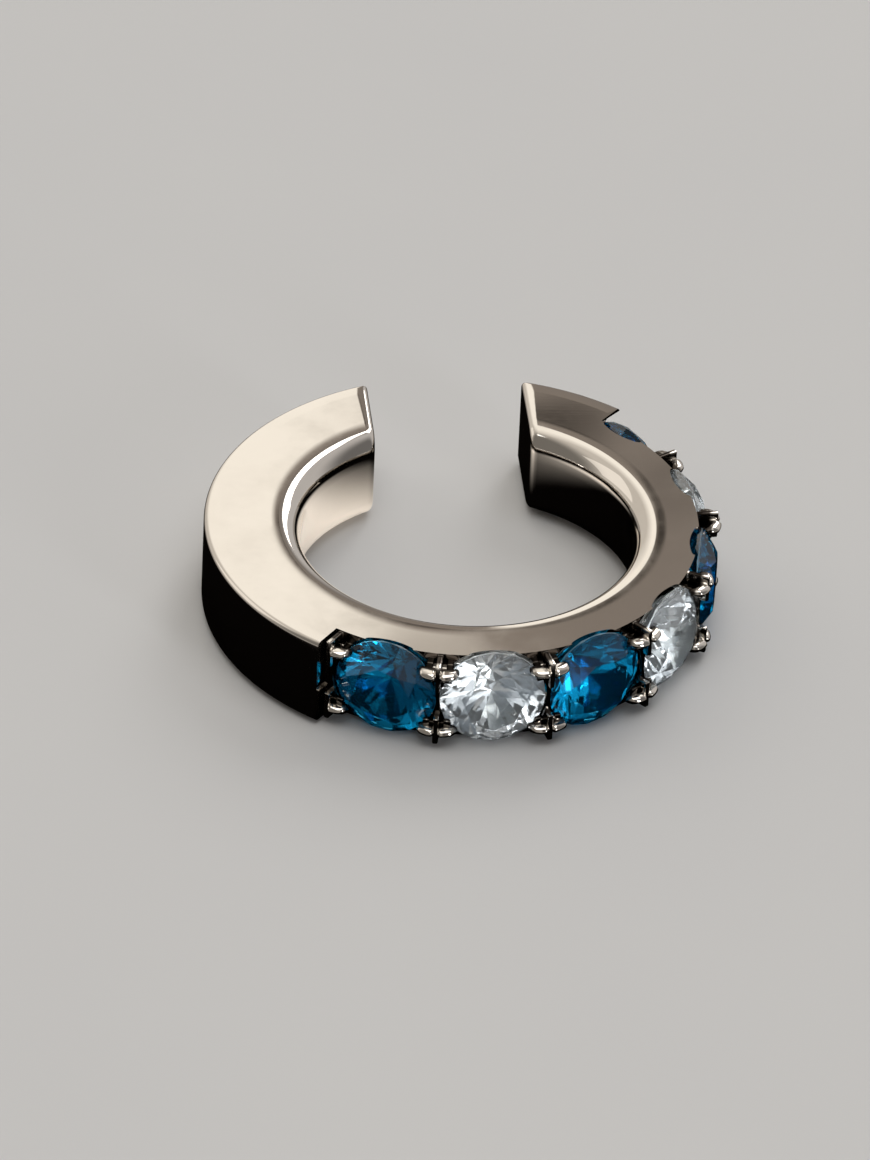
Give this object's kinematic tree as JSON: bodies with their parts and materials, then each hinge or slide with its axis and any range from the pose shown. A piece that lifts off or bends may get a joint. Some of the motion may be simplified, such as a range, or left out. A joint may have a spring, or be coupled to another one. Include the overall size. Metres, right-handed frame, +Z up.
{
  "type": "ear cuff",
  "caption": "Open ring ear cuff of polished white metal, with a claw-set row of blue and clear round brilliants in its outer wall, lying on its side.",
  "frame": {"origin": "middle of the footprint, on the surface that the cuff lies on", "axes": "+Z up along the ring's axis, +Y out through the gap in the ring, +X towards the middle of the stone row"},
  "size_m": [0.0122, 0.0118, 0.0025],
  "materials": {
    "metal": "mirror-polished white metal with fine wear",
    "blue_stone": "polished facets, deep blue",
    "clear_stone": "polished facets, colourless"
  },
  "bodies": {
    "root": {"band": "metal", "blue_stone_1": "blue_stone", "blue_stone_2": "blue_stone", "blue_stone_3": "blue_stone", "blue_stone_4": "blue_stone", "clear_stone_1": "clear_stone", "clear_stone_2": "clear_stone", "clear_stone_3": "clear_stone"}
  },
  "joints": []
}
